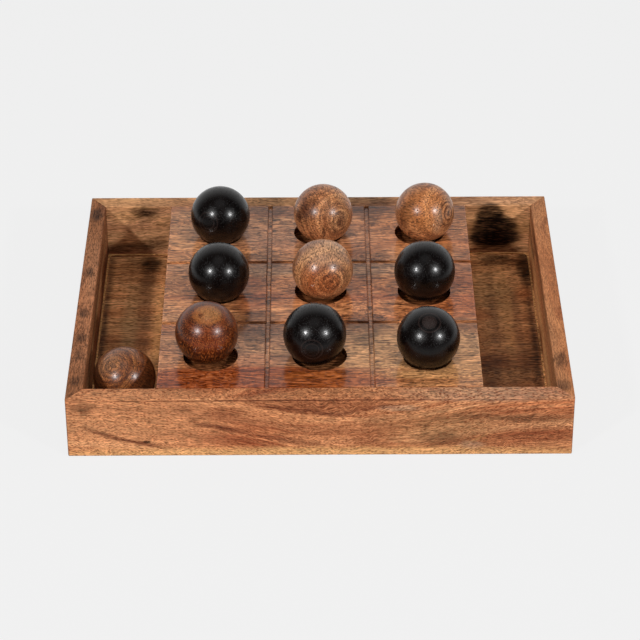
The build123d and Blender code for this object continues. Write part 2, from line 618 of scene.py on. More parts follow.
    def _surface(self, tree: Tree, colour: Source, pores: Source, fibre: Source, place: Source) -> None:
        """Join the colour to a satin surface with open pores and raised fibres.

        Args:
            tree: the material's node tree.
            colour: the wood's colour.
            pores: how much of a pore there is.
            fibre: the fibres' shade.
            place: the point in the shared frame.
        """
        oil_edge, fibre_height = 1.0, 0.5
        level = add_node(tree, "SeparateXYZ", {0: place}).outputs[2]
        inputs = {0: level, 1: self.bare_below - oil_edge, 2: self.bare_below, 3: 0.0, 4: self.specular}
        oiled = add_node(tree, "MapRange", inputs)
        sunk = add_node(tree, "Math", {0: pores, 1: -1.0}, operation="MULTIPLY")
        height = add_node(tree, "Math", {0: fibre, 1: fibre_height, 2: sunk}, operation="MULTIPLY_ADD")
        bump = add_node(tree, "Bump", {"Height": height, "Strength": 1.0, "Distance": self.relief * MM})
        smooth_wood, rough_pore = self.roughness, self.roughness + self.pore_roughness
        rough = add_node(tree, "MapRange", {0: pores, 1: 0.0, 2: 1.0, 3: smooth_wood, 4: rough_pore})
        inputs = {"Base Color": colour, "Roughness": rough, "Normal": bump, "Specular IOR Level": oiled}
        add_node(tree, "OutputMaterial", {"Surface": add_node(tree, "BsdfPrincipled", inputs)})


# Oiled acacia: orange-tan with red-brown figure and short dark pores
FRONT_RAIL_WOOD = Timber(pale="#E09C6C", heart="#C77B50", dark="#8C462A", sap="#D79868", pore="#662A14")
# The back rail is paler and greyer
BACK_RAIL_WOOD = Timber(pale="#DEA67A", heart="#C48B63", dark="#8E5D40", sap="#D4A26F", pore="#5A3824")
# The left rail is dark heartwood, brown with nearly black pores
LEFT_RAIL_WOOD = Timber(pale="#AE724E", heart="#8B5634", dark="#583220", sap="#986A4A", pore="#301810")
# The right rail is lighter than the left and darker than the others
RIGHT_RAIL_WOOD = Timber(pale="#CE8C5C", heart="#AE6E46", dark="#74442C", sap="#BA845A", pore="#4A2818")
# The board, pinkish tan with grey sapwood and orange-red bands laid over as marks
BOARD_WOOD = Timber(pale="#D89562", heart="#B66F44", dark="#784024", sap="#C28B62", pore="#4A241A")
# The wells' floor and bearers, brown and toasted
BASE_WOOD = Timber(pale="#EFAC74", heart="#CE8856", dark="#925A34", sap="#DAA26C", pore="#4A2814")
# Turned acacia, oiled: tan, with brown rings where the end grain shows and dark pores
LIGHT_BALL_WOOD = Timber(pale="#D29362", heart="#B8774B", dark="#74432A", sap="#BC8C62", pore="#2A1208")
# Turned from the heart: dark reddish brown, with paler threads
HEART_BALL_WOOD = Timber(pale="#743416", heart="#561F08", dark="#341005", sap="#622C10", pore="#AA5C24")
# Turned from wood near the bark: a darker brown than the others, under close rings
GREY_BALL_WOOD = Timber(pale="#B0703F", heart="#8C4E28", dark="#4A240F", sap="#9A5F39", pore="#241008")
# Black stain under wax, through which the turned grain shows
EBONISED_WOOD = Timber(pale="#0F0908", heart="#0A0605", dark="#060303", sap="#0C0706", pore="#040202")

LENGTHWISE = (0.0, 1.0, 0.0)
FRONT_FACE = -117.0
BACK_WALL = 105.0
END_WALL = 140.0
BOARD_TOP = 41.0
WELL_FLOOR = 3.5
COLUMN_GROOVE = 31.5

# A patch on a face takes its middle, its half sizes, its tone and its look; a line its path
# and its width instead
on_front = partial(Spot.on, Face.FRONT, FRONT_FACE)
on_back_wall = partial(Spot.on, Face.FRONT, BACK_WALL, depth=6.0)
on_top = partial(Spot.on, Face.TOP, BOARD_TOP)
in_well = partial(Spot.on, Face.TOP, WELL_FLOOR, depth=1.8)
front_line = partial(Streak, Face.FRONT, FRONT_FACE)
left_line = partial(Streak, Face.SIDE, -END_WALL)
right_line = partial(Streak, Face.SIDE, END_WALL)
top_line = partial(Streak, Face.TOP, BOARD_TOP)
groove_line = partial(Streak, Face.TOP_LENGTHWISE, BOARD_TOP)
well_line = partial(Streak, Face.TOP_LENGTHWISE, WELL_FLOOR)

FRONT_SWEEP = (
    *((-150, 5), (-110, 2), (-75, 0), (-30, -8), (5, -14)),
    *((40, -12), (80, -5), (110, 0), (150, 2)),
)
FRONT_KNOT_LINE = ((-42, 40.5), (-26, 34.6), (-6, 32.4), (10, 30.1), (21, 32.5), (38, 35.7), (54, 38))
FRONT_RAIL_MARKS = (
    Spot((-112.0, -113.0, 25.0), (56.0, 12.0, 30.0), Tone.TAN_SAP, 0.5, 0.5, 3.0),
    on_front((-140, 34.5), (7, 5), Tone.SHADE, 0.6, 0.8, 2.0, depth=8.0),
    front_line(((-142, 21.5), (-126, 15), (-113, 11.2), (-86, 5.2)), 2.4, Tone.LINE_RED, 0.95),
    on_front((-102.7, 10.4), (2.4, 1), Tone.BARK, 0.95, 0.4, 0.4, depth=3.0),
    on_front((-80, 33.5), (5, 2), Tone.GUM_LINE, 0.5, 0.8, 2.5, depth=4.0),
    on_front((-74, 26.5), (3.5, 2), Tone.GUM_LINE, 0.5, 0.8, 2.5, depth=4.0),
    front_line(((-75, 23.5), (-58, 20.5), (-40, 16)), 3.0, Tone.LINE_RED, 0.9),
    on_front((-56, 32), (12, 3.5), Tone.RED_HEART, 0.45, depth=6.0),
    front_line(FRONT_KNOT_LINE, 2.8, Tone.LINE_RED, 0.85),
    on_front((5, 36.5), (38, 4), Tone.RED_HEART, 0.5),
    front_line(((-44, 17.5), (-30, 13.7), (-16, 10.7), (5, 6.6)), 3.6, Tone.LINE_RED, 0.7),
    on_front((33.6, 25), (10, 4), Tone.SHADE, 0.4, 0.8, 3.0),
    on_front((31, 11), (12, 6), Tone.RED_HEART, 0.55, 0.8, 2.5),
    on_front((47, 34), (12, 2), Tone.GREY_SAP, 0.5),
    on_front((70, 20), (30, 14), Tone.OLIVE, 0.4, 0.8),
    front_line(((60, 27.5), (92, 28), (125, 26), (156, 27)), 3.4, Tone.SHADE, 0.6, 6.0, 1.5),
    on_front((125, 25.9), (18, 3), Tone.SHADE, 0.4, 0.8, 2.0),
    on_front((72, 12), (13, 5), Tone.SHADE, 0.6, 0.8, 3.0),
    front_line(((79, 5.5), (90, 9.8), (100, 16)), 1.2, Tone.GOLDEN_SAP, 0.8),
    on_front((90, 7), (7, 3), Tone.GREY_SAP, 0.55),
    on_front((134, 15), (20, 5), Tone.RED_HEART, 0.35, 0.8, 2.0),
    on_front((0, 1), (170, 5), Tone.PALE_SAP, 0.95),
    on_front((112, 20), (45, 16), Tone.SHADE, 0.3),
    on_front((20, 22), (40, 16), Tone.RED_HEART, 0.12),
    # The top, darkened as painted shade, and the dark line of its front arris
    Hollow(40.2, -0.5, Tone.SHADE, 0.2),
    front_line(((-146, 39.6), (-80, 39.8), (0, 40), (146, 39.8)), 1.0, Tone.LINE_RED, 0.95, 1.5, 0.2),
    on_top((100, -111), (50, 9), Tone.GREY_SAP, 0.45, depth=3.0),
)
LEFT_RAIL_MARKS = (
    on_top((-145, -80), (8, 50), Tone.SHADE, 0.3),
    on_top((-145.2, 94.7), (3.6, 7), Tone.TOAST, 0.85),
    on_top((-144.8, 24.4), (2.4, 6), Tone.TOAST, 0.7),
    on_top((-145.2, -23.2), (2.6, 5), Tone.TOAST, 0.7),
    on_top((-145, -51.1), (3, 5), Tone.TOAST, 0.7),
    on_top((-145.5, -70.7), (3, 5), Tone.TOAST, 0.55),
    on_top((-144.6, -97.3), (3, 5), Tone.TOAST, 0.55),
    left_line(((-105, 36), (0, 35), (105, 37)), 2.0, Tone.BARK, 0.7, 1.5),
    left_line(((-105, 22), (0, 24), (105, 20)), 4.0, Tone.OLIVE, 0.5, 1.5),
)
RIGHT_RAIL_MARKS = (
    on_top((149, -26.8), (3.5, 7), Tone.RED_HEART, 0.5),
    on_top((144.5, -77.4), (4.5, 8), Tone.TOAST, 0.6),
    on_top((144, -104), (5, 6), Tone.SHADE, 0.7),
    right_line(((60, 34), (85, 22), (106, 28)), 6.0, Tone.TOAST, 0.8, 1.5),
    right_line(((-105, 30), (0, 30), (105, 34)), 2.4, Tone.RED_HEART, 0.7, 1.5),
    right_line(((-130, 13), (0, 14), (110, 15)), 11.0, Tone.PALE_SAP, 0.8, 1.5),
)
BACK_RAIL_MARKS = (
    on_back_wall((-115.5, 36), (9, 5), Tone.TOAST, 0.9, 0.7),
    on_back_wall((-108.7, 13), (9, 4.5), Tone.TOAST, 0.7, 0.7),
    on_back_wall((-126, 9), (16, 4), Tone.TOAST, 0.6, 0.7),
    on_back_wall((-128, 32), (10, 5), Tone.GOLDEN_SAP, 0.5, 0.8, depth=4.0),
    on_back_wall((-103, 30), (8, 5), Tone.GOLDEN_SAP, 0.4, 0.8, depth=4.0),
    on_back_wall((118, 26), (26, 16), Tone.GOLDEN_SAP, 0.6, depth=4.0),
    on_back_wall((117, 6), (26, 3.5), Tone.TOAST, 0.5, depth=4.0),
    on_back_wall((113.5, 33), (9.5, 9), Tone.SCORCH, 0.95, 0.3, 1.2),
    on_back_wall((116, 24), (14.5, 9), Tone.SCORCH, 0.95, 0.3, 1.2),
    on_back_wall((117, 16.5), (17.5, 7), Tone.SCORCH, 0.99, 0.3, 1.2),
    on_back_wall((116, 15.5), (16, 5), Tone.SCORCH, 0.99, 0.3, 1.2),
    on_back_wall((121, 24), (11, 10), Tone.SCORCH, 0.72, 0.35, 1.2),
    on_back_wall((115, 11.5), (13, 4.5), Tone.SCORCH, 0.7, 0.4, 1.2),
    on_top((20, 111), (40, 8), Tone.SHADE, 0.3, 0.8),
    on_top((-122, 111), (30, 9), Tone.PALE_SAP, 0.35, depth=3.0),
    on_top((120, 111), (30, 9), Tone.SHADE, 0.15, depth=3.0),
)
BASE_MARKS = (
    in_well((-101, 10), (5, 60), Tone.GOLDEN_SAP, 0.6, 0.8),
    in_well((-121, 10), (5, 55), Tone.OLIVE, 0.5, 0.8),
    in_well((-112.5, 40), (5, 45), Tone.SHADE, 0.48, 0.8),
    in_well((-118, 95), (26, 24), Tone.TOAST, 0.55, 0.8),
    in_well((-110.5, 94), (6.5, 8), Tone.SCORCH, 0.9, 0.6),
    in_well((-112, 74), (6, 22), Tone.TOAST, 0.4, 0.8),
    # A dark band beside the lip at the foot of the left wall, painted shade
    well_line(((-110, -137.5), (0, -137.3), (130, -137)), 4.0, Tone.BARK, 0.8, 2.0),
    in_well((110, 45), (18, 45), Tone.OLIVE, 0.55, 0.8),
    in_well((112, 25), (3, 60), Tone.SHADE, 0.44, 0.8),
    in_well((121, 30), (3.5, 55), Tone.GOLDEN_SAP, 0.45, 0.8),
    in_well((127, 20), (2.5, 60), Tone.SHADE, 0.38, 0.8),
    in_well((120, 97), (13, 7), Tone.TOAST, 0.75, 0.7),
    in_well((136, 88), (6, 19), Tone.SCORCH, 0.97, 0.6),
    in_well((118, -32), (16, 20), Tone.TOAST, 0.5, 0.8),
    in_well((105, -36), (6, 24), Tone.TOAST, 0.6, 0.8),
    in_well((132, -30), (4, 32), Tone.TOAST, 0.5, 0.8),
    in_well((114, -78), (22, 24), Tone.TOAST, 0.85, 0.7),
    # A dark band beside the lip at the foot of the right wall, painted shade
    well_line(((-120, 137), (0, 136.5), (115, 137)), 5.0, Tone.BARK, 0.85, 2.0),
    in_well((133, 57), (5, 7), Tone.ORANGE_HEART, 0.5, 0.7),
    in_well((103.5, 30), (7, 7), Tone.ORANGE_HEART, 0.45, 0.7),
    # The lip round each pocket, lightened as a painted highlight
    Hollow(4.2, -0.2, Tone.GOLDEN_SAP, 0.85),
)
BOARD_MARKS = (
    on_top((20, 100), (90, 6), Tone.SHADE, 0.5, 0.7),
    on_top((0, 27), (100, 7), Tone.GREY_SAP, 0.4, 0.5),
    on_top((0, 8), (120, 10), Tone.ORANGE_HEART, 0.45, 0.4),
    on_top((0, -6), (110, 4), Tone.RED_HEART, 0.65, 0.5),
    on_top((60, -12), (60, 10), Tone.ORANGE_HEART, 0.45, 0.5),
    on_top((0, -58), (110, 22), Tone.GREY_SAP, 0.3, 0.4),
    on_top((-41, -4), (11, 24), Tone.RED_HEART, 0.6),
    on_top((88, -2), (18, 30), Tone.ORANGE_HEART, 0.4),
    on_top((-72, 2), (30, 24), Tone.SHADE, 0.22, 0.7),
    on_top((54, -68), (56, 28), Tone.PALE_SAP, 0.55),
    on_top((62, 74), (34, 24), Tone.ORANGE_LIGHT, 0.35),
    on_top((-88, 76), (9, 28), Tone.PALE_SAP, 0.2),
    on_top((-38, -96), (80, 13), Tone.RUSSET, 0.9, 0.25, depth=9.0),
    on_top((6, -94), (34, 12), Tone.ORANGE_LIGHT, 0.24),
    on_top((-35, 74), (64, 30), Tone.GREY_SAP, 0.2),
    on_top((80, 8), (26, 44), Tone.RUSSET, 0.1),
    on_top((80, -93), (35, 12), Tone.GOLDEN_SAP, 0.4, 0.5, depth=9.0),
    on_top((-20, -86.5), (80, 2), Tone.RED_HEART, 0.6, 0.6),
    on_top((0, -99), (110, 3), Tone.RED_HEART, 0.5, 0.6, depth=9.0),
    top_line(((37, -13.6), (50, -15), (70, -18.2)), 1.5, Tone.BARK, 0.95),
    top_line(((-86, 1.8), (-77, 1.2)), 1.4, Tone.BARK, 0.85),
    top_line(((-50, -5.2), (-34, -7.5), (-10, -8)), 1.3, Tone.GUM_LINE, 0.85),
    top_line(((12, -33.2), (24, -33.5), (42, -33.6)), 1.6, Tone.GUM_LINE, 0.7),
    top_line(((-58, -32.8), (-36, -33.2), (-18, -33.4)), 1.5, Tone.GUM_LINE, 0.6),
    top_line(((-46, 36), (-32, 35.6), (-16, 35.4)), 1.8, Tone.GUM_LINE, 0.6),
    top_line(((16, 37.6), (30, 37.4), (50, 37)), 1.8, Tone.GUM_LINE, 0.6),
    # The column grooves' edges darkened as painted shade, and their floors lightened as painted light
    *(
        groove_line(tuple((y, groove + edge) for y in (-112, 0, 112)), 1.0, tone, 0.6, 2.0, 0.15)
        for groove in (-COLUMN_GROOVE, COLUMN_GROOVE)
        for edge, tone in ((-1.5, Tone.LINE_RED), (1.5, Tone.LINE_RED), (0.0, Tone.GROOVE_PAINTED_LIGHT))
    ),
    top_line(((-97, -35), (-84, -35)), 1.5, Tone.ORANGE_HEART, 0.85),
    # The bored recesses, bare wood darkened further as painted shade, a scorched tick on each column
    # groove, and a red line near the front
    Hollow(39.6, 1.0, Tone.BARE_BORE_AND_SHADE, 0.86),
    on_top((-31.8, -10.5), (1.8, 2.2), Tone.SCORCH, 0.9, 0.5, 0.4, depth=3.0),
    on_top((31.5, -16.8), (1.8, 2.2), Tone.SCORCH, 0.9, 0.5, 0.4, depth=3.0),
    top_line(((60, -104.3), (96, -104.4)), 0.8, Tone.RED_HEART, 0.8),
)


@dataclass(frozen=True)
class BradFinish:
    """Bright drawn steel wire, dulled a little where the hammer and punch met it."""

    name: str = "drawn_steel"
    colour: str = "#9A9894"
    dull_colour: str = "#6E6B66"
    roughness: Pair = (0.28, 0.53)
    # The die leaves far finer scratches, which are drawn coarser to show at all
    scratch_width: float = 0.15

    def material(self) -> bpy.types.Material:
        """Make the material.

        Returns:
            The finished material.
        """
        material = bpy.data.materials.new(self.name)
        tree = blank_tree(material)
        place = add_node(tree, "TexCoord").outputs["Object"]
        inputs = {"Vector": place, "Scale": 1 / (self.scratch_width * MM), "Detail": 3.0}
        scratches = add_node(tree, "TexNoise", inputs)
        tone = add_node(tree, "ValToRGB", {0: scratches})
        tone.color_ramp.elements[0].color = linear(self.dull_colour)
        tone.color_ramp.elements[1].color = linear(self.colour)
        rough = add_node(tree, "MapRange", {0: scratches, 3: self.roughness[0], 4: self.roughness[1]})
        inputs = {"Base Color": tone, "Metallic": 1.0, "Roughness": rough}
        add_node(tree, "OutputMaterial", {"Surface": add_node(tree, "BsdfPrincipled", inputs)})
        return material


@dataclass(frozen=True)
class Span:
    """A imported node's box at rest, in millimetres."""

    low: Vector
    high: Vector

    @classmethod
    def of(cls, node: str) -> Span:
        """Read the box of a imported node."""
        low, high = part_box(node)
        return cls(low / MM, high / MM)

    @property
    def middle(self) -> Vector:
        """The box's middle."""
        return (self.low + self.high) / 2

    @property
    def size(self) -> Vector:
        """The box's length, depth and height."""
        return self.high - self.low


def apply_modifiers(piece: Piece) -> None:
    """Make a piece's modifiers part of its mesh.

    Args:
        piece: the object.
    """
    graph = bpy.context.evaluated_depsgraph_get()
    mesh = bpy.data.meshes.new_from_object(piece.evaluated_get(graph))
    piece.modifiers.clear()
    old = piece.data
    piece.data = mesh
    bpy.data.meshes.remove(old)


def piece_name(node: str) -> str:
    """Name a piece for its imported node, such as FrontRail for front_rail."""
    return node.replace("_", " ").title().replace(" ", "")


def add_piece(name: str, shape: Shape) -> Piece:
    """Turn a finished shape into an object.

    Args:
        name: the piece's name.
        shape: the shape in millimetres, which is freed.

    Returns:
        The object, at the origin, with its place in its mesh.
    """
    bmesh.ops.scale(shape, vec=(MM, MM, MM), verts=shape.verts)
    bmesh.ops.recalc_face_normals(shape, faces=shape.faces)
    mesh = bpy.data.meshes.new(name)
    shape.to_mesh(mesh)
    shape.free()
    piece = bpy.data.objects.new(name, mesh)
    bpy.context.scene.collection.objects.link(piece)
    return piece


def add_block(node: str) -> Piece:
    """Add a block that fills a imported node's box.

    Args:
        node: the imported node's name.

    Returns:
        The block, named for the node.
    """
    span = Span.of(node)
    shape = bmesh.new()
    place = Matrix.Translation(span.middle) @ Matrix.Diagonal((*span.size, 1))
    bmesh.ops.create_cube(shape, size=1, matrix=place)
    return add_piece(piece_name(node), shape)


def carve(piece: Piece, cutters: list[Piece]) -> None:
    """Cut shapes out of a piece, and remove the cutters.

    Args:
        piece: the object that is cut.
        cutters: the objects that cut it.
    """
    for cutter in cutters:
        cut = piece.modifiers.new("cut", "BOOLEAN")
        cut.operation = "DIFFERENCE"
        cut.solver = "EXACT"
        cut.object = cutter
        apply_modifiers(piece)
        mesh = cutter.data
        bpy.data.objects.remove(cutter)
        bpy.data.meshes.remove(mesh)


def ease(piece: Piece, width: float, angle: float = 35.0, steps: int = 2) -> None:
    """Round a piece's sharp edges.

    Args:
        piece: the object.
        width: how far the rounding reaches, in millimetres.
        angle: the least turn between two faces, in degrees, that counts as sharp.
        steps: how many chords make up the rounding.
    """
    bevel = piece.modifiers.new("ease", "BEVEL")
    bevel.width = width * MM
    bevel.segments = steps
    bevel.limit_method = "ANGLE"
    bevel.angle_limit = math.radians(angle)
    apply_modifiers(piece)


def smooth(piece: Piece, angle: float = 40.0) -> None:
    """Shade a piece smooth, its large faces flat up to their eased edges.

    Args:
        piece: the object.
        angle: the turn between two faces, in degrees, above which their edge stays sharp.
    """
    piece.data.shade_smooth()
    piece.data.set_sharp_from_angle(angle=math.radians(angle))
    weighted = piece.modifiers.new("weighted", "WEIGHTED_NORMAL")
    weighted.keep_sharp = True
    apply_modifiers(piece)


def loft(rings: list[list[Vector]]) -> Shape:
    """Skin a row of rings with four-sided faces, and close both ends.

    Args:
        rings: the rings, each with as many points, in order.

    Returns:
        The closed shape.
    """
    shape = bmesh.new()
    rows = [[shape.verts.new(point) for point in ring] for ring in rings]
    count = len(rings[0])
    for first, second in zip(rows, rows[1:]):
        for i in range(count):
            j = (i + 1) % count
            shape.faces.new((first[i], first[j], second[j], second[i]))
    shape.faces.new(rows[0][::-1])
    shape.faces.new(rows[-1])
    return shape


def rounded(corners: list[Point], steps: int = 5) -> list[Pair]:
    """Round the square corners of an outline.

    Args:
        corners: each corner's place and the radius it takes, 0 for a sharp one.
        steps: how many chords make up a rounded corner.

    Returns:
        The outline's points.
    """
    points = []
    for i, (x, y, radius) in enumerate(corners):
        here = Vector((x, y))
        if radius == 0:
            points.append((x, y))
            continue
        back = (Vector(corners[i - 1][:2]) - here).normalized()
        ahead = (Vector(corners[(i + 1) % len(corners)][:2]) - here).normalized()
        centre = here + (back + ahead) * radius
        for step in range(steps + 1):
            turn = math.pi / 2 * step / steps
            spoke = -ahead * math.cos(turn) - back * math.sin(turn)
            points.append(tuple(centre + spoke * radius))
    return points


def dress(piece: Piece, finish: WoodFinish, node: str, body: str = TRAY) -> None:
    """Give a piece its wood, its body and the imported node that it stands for.

    Args:
        piece: the object.
        finish: its wood.
        node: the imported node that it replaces.
        body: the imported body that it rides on.
    """
    piece.data.materials.clear()
    piece.data.materials.append(finish.material(Span.of(node).middle))
    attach(piece, body)
    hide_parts(node)
    log.info("%s: %d faces, on %s", piece.name, len(piece.data.polygons), body)


@dataclass
class Rails:
    """The mitred box: four rails with worn arrises and a rebate for the base panel."""

    arris: float = 0.7
    foot_round: float = 1.0
    corner_round: float = 1.3
    station_gap: float = 4.0
    # Where the sections near a corner stand, from the corner
    end_stations: tuple[float, ...] = (0.0, 0.2, 0.45, 0.7, 1.0, 1.4, 2.4)
    wear: float = 0.12
    wear_length: float = 22.0
    nick_share: float = 0.35
    nick_length: float = 4.4
    wear_slant: float = 0.7
    # Half the open joint at a rail's near and far end
    mitre_gaps: dict[str, Pair] = field(
        default_factory=lambda: {
            "front_rail": (0.16, 0.07),
            "back_rail": (0.16, 0.07),
            "left_rail": (0.16, 0.16),
            "right_rail": (0.07, 0.07),
        }
    )
    base_fit_gap: float = 0.2
    brad_head_diameter: float = 2.2
    brad_head_sides: int = 24
    brad_set: float = 0.4
    brad_spacing: float = 20.0

    def __post_init__(self) -> None:
        """Read the tray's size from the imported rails."""
        self.front, self.side = Span.of("front_rail"), Span.of("left_rail")
        self.base = Span.of("base_panel")
        self.height = self.front.high.z
        self.depth = -2 * self.front.low.y
        self.length = -2 * self.side.low.x
        self.end_thickness = self.front.size.y
        self.side_thickness = self.side.size.x

    def build(self) -> dict[str, Piece]:
        """Build the four rails.

        Returns:
            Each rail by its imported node's name.
        """
        half_length, half_depth = self.length / 2, self.depth / 2
        inner_length = half_length - self.side_thickness
        inner_depth = half_depth - self.end_thickness
        lap_x = self.base.high.x - inner_length
        lap_y = self.base.high.y - inner_depth
        x, y = Vector((1, 0, 0)), Vector((0, 1, 0))
        crosswise = (-half_depth, half_length, inner_length, self.end_thickness, lap_y)
        lengthwise = (-half_length, half_depth, inner_depth, self.side_thickness, lap_x)
        rails = {
            "front_rail": self._rail("front_rail", x, y, *crosswise),
            "back_rail": self._rail("back_rail", x, -y, *crosswise),
            "left_rail": self._rail("left_rail", y, x, *lengthwise),
            "right_rail": self._rail("right_rail", y, -x, *lengthwise),
        }
        carve(rails["left_rail"], [self._nail_holes(-1)])
        carve(rails["right_rail"], [self._nail_holes(1)])
        for rail in rails.values():
            smooth(rail)
        return rails

    def _rail(
        self,
        name: str,
        along: Vector,
        inward: Vector,
        face: float,
        outer: float,
        inner: float,
        thickness: float,
        lap: float,
    ) -> Piece:
        """Build one rail between its mitres.

        Args:
            name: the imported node's name.
            along: the way the rail runs.
            inward: the way from its outer face to its inner face.
            face: how far along the inward way its outer face stands.
            outer: half the outer face's length.
            inner: half the inner face's length.
            thickness: from face to face.
            lap: how far the base panel runs under the rail.

        Returns:
            The rail.
        """
        step = thickness - lap - self.base_fit_gap
        ledge = self.base.high.z
        profile = rounded(
            [
                (0.0, 0.0, self.foot_round),
                (step, 0.0, 0.0),
                (step, ledge, 0.0),
                (thickness, ledge, 0.0),
                (thickness, self.height, self.arris),
                (0.0, self.height, self.arris),
            ]
        )
        near = self.end_stations
        near_gap, far_gap = self.mitre_gaps[name]
        span = outer - near[-1]
        count = round(2 * span / self.station_gap)
        spots = [span - 2 * span * i / count for i in range(1, count)]
        stations = [outer - d for d in near] + spots + [d - outer for d in reversed(near)]
        rings = []
        for index, station in enumerate(stations):
            ring = []
            gap = 0.0
            if index in (0, len(stations) - 1):
                gap = far_gap if station > 0 else near_gap
            for u, v in profile:
                half = outer - (outer - inner) * u / thickness
                run = station * half / outer
                # The mitre meets the rounded corner halfway round it
                off = max(outer - abs(run), self.corner_round * (1 - math.sqrt(0.5)))
                if off < self.corner_round:
                    turn = self.corner_round - off
                    u = max(u, self.corner_round - math.sqrt(self.corner_round**2 - turn**2))
                    half = outer - (outer - inner) * u / thickness
                    run = math.copysign(min(outer - off, half), run)
                u += gap * (1 if u < thickness / 2 else -1)
                v += gap * (1 if v < self.height / 2 else -1)
                here = along * run + inward * (face + u) + Vector((0, 0, v))
                ring.append(here + self._wear(here, v, inward if u < thickness / 2 else -inward))
            rings.append(ring)
        return add_piece(piece_name(name), loft(rings))

    def _wear(self, here: Vector, v: float, side: Vector) -> Vector:
        """Say how far handling has worn the wood away at a point.

        Args:
            here: the point.
            v: how high it lies.
            side: the way into the wood from the nearer face.

        Returns:
            The way and distance, always into the wood.
        """
        if v < self.height - 2 * self.arris:
            return Vector()
        amount = self.wear * (0.5 + 0.5 * noise.noise(here / self.wear_length))
        amount += self.nick_share * self.wear * noise.noise(here / self.nick_length)
        return (side + Vector((0, 0, -1))) * max(amount, 0.0) * self.wear_slant

    def _nail_holes(self, side: int) -> Piece:
        """Make the cutter for the four brad holes in a side rail's outer face.

        Args:
            side: -1 for the left rail, 1 for the right.

        Returns:
            The cutter.
        """
        shape = bmesh.new()
        proud = 1.0
        radius = self.brad_head_diameter / 2
        x = side * (self.length / 2 - self.brad_set / 2 + proud / 2)
        for back in (-1, 1):
            for up in (-1, 1):
                y = back * (self.depth - self.end_thickness) / 2
                z = self.height / 2 + up * self.brad_spacing / 2
                bmesh.ops.create_cone(
                    shape,
                    cap_ends=True,
                    segments=self.brad_head_sides,
                    radius1=radius,
                    radius2=radius,
                    depth=self.brad_set + proud,
                    matrix=Matrix.Translation((x, y, z)) @ Matrix.Rotation(math.pi / 2, 4, "Y"),
                )
        return add_piece("nail_holes", shape)

    def dress(self, rails: dict[str, Piece]) -> None:
        """Finish the rails in oiled acacia, each from its own stick.

        Args:
            rails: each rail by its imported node's name.
        """
        finishes = {
            "front_rail": WoodFinish(
                "front_rail_acacia", FRONT_RAIL_WOOD, seed=1, pith=(35.0, -70.0), ring_width=8.0,
                line_strength=0.55, line_width=0.45, sweep=FRONT_SWEEP, wave=5.0, pore_length=2.2,
                pore_width=0.6, pore_strength=1.0, fibre_length=5.0, fibre_width=0.55,
                fibre_strength=0.7, spread=2.3, marks=FRONT_RAIL_MARKS,
            ),
            "back_rail": WoodFinish(
                "back_rail_acacia", BACK_RAIL_WOOD, seed=2, pore_width=0.75, pore_strength=0.7,
                fibre_strength=0.6, spread=1.6, marks=BACK_RAIL_MARKS,
            ),
            "left_rail": WoodFinish(
                "left_rail_acacia", LEFT_RAIL_WOOD, seed=3, along=LENGTHWISE, pore_length=3.2,
                pore_width=0.6, fibre_length=7.0, fibre_width=0.7, fibre_strength=0.6,
                marks=LEFT_RAIL_MARKS,
            ),
            "right_rail": WoodFinish(
                "right_rail_acacia", RIGHT_RAIL_WOOD, seed=4, along=LENGTHWISE, pore_length=2.6,
                pore_width=0.55, pore_strength=0.6, fibre_length=7.0, fibre_width=0.65,
                fibre_strength=0.5, marks=RIGHT_RAIL_MARKS,
            ),
        }
        for node, rail in rails.items():
            dress(rail, finishes[node], node)


@dataclass
class Base:
    """The base panel, with a shallow round-cornered pocket in each well."""

    pocket_depth: float = 1.0
    pocket_lip: float = 1.2
    pocket_corner: float = 4.0
    corner_steps: int = 8
    edge: float = 0.3

    def build(self, rails: Rails) -> Piece:
        """Build the panel.

        Args:
            rails: the rails that it is let into.

        Returns:
            The panel.
        """
        panel = add_block("base_panel")
        for side in (-1, 1):
            carve(panel, [self._pocket(side, rails)])
        ease(panel, self.edge)
        smooth(panel)
        return panel

    def _pocket(self, side: int, rails: Rails) -> Piece:
        """Make the cutter for one well's pocket.

        Args:
            side: -1 for the left well, 1 for the right.
            rails: the rails round the wells.

        Returns:
            The cutter.
        """
        proud = 2.0
        near = Span.of("play_board").high.x + self.pocket_lip
        far = rails.length / 2 - rails.side_thickness - self.pocket_lip
        back = rails.depth / 2 - rails.end_thickness - self.pocket_lip
        r = self.pocket_corner
        corners = [(near, -back, r), (far, -back, r), (far, back, r), (near, back, r)]
        outline = rounded(corners, self.corner_steps)
        top = Span.of("base_panel").high.z
        levels = (top - self.pocket_depth, top + proud)
        rings = [[Vector((side * x, y, z)) for x, y in outline] for z in levels]
        return add_piece("pocket", loft(rings))

    def dress(self, panel: Piece) -> None:
        """Finish the panel in toasted wood.

        Args:
            panel: the panel.
        """
        finish = WoodFinish(
            "base_panel_acacia", BASE_WOOD, seed=5, pith=(-40.0, -120.0), line_strength=0.3,
            fibre_length=11.0, fibre_width=0.7, fibre_strength=0.65, pore_length=3.6, pore_width=0.6,
            pore_strength=0.9, spread=1.8, roughness=0.5, marks=BASE_MARKS,
        )
        dress(panel, finish, "base_panel")


@dataclass
class Dividers:
    """The bearers under the board, which wall off the wells."""

    edge: float = 0.4

    def build(self) -> dict[str, Piece]:
        """Build both dividers.

        Returns:
            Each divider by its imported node's name.
        """
        dividers = {node: add_block(node) for node in ("left_divider", "right_divider")}
        for piece in dividers.values():
            ease(piece, self.edge)
            smooth(piece)
        return dividers

    def dress(self, dividers: dict[str, Piece]) -> None:
        """Finish the dividers in the floor's wood, browned by the wells' toasting.

        Args:
            dividers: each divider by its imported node's name.
        """
        for seed, (node, piece) in enumerate(dividers.items(), start=6):
            finish = WoodFinish(f"{node}_acacia", BASE_WOOD, seed, along=LENGTHWISE, roughness=0.5)
            dress(piece, finish, node)


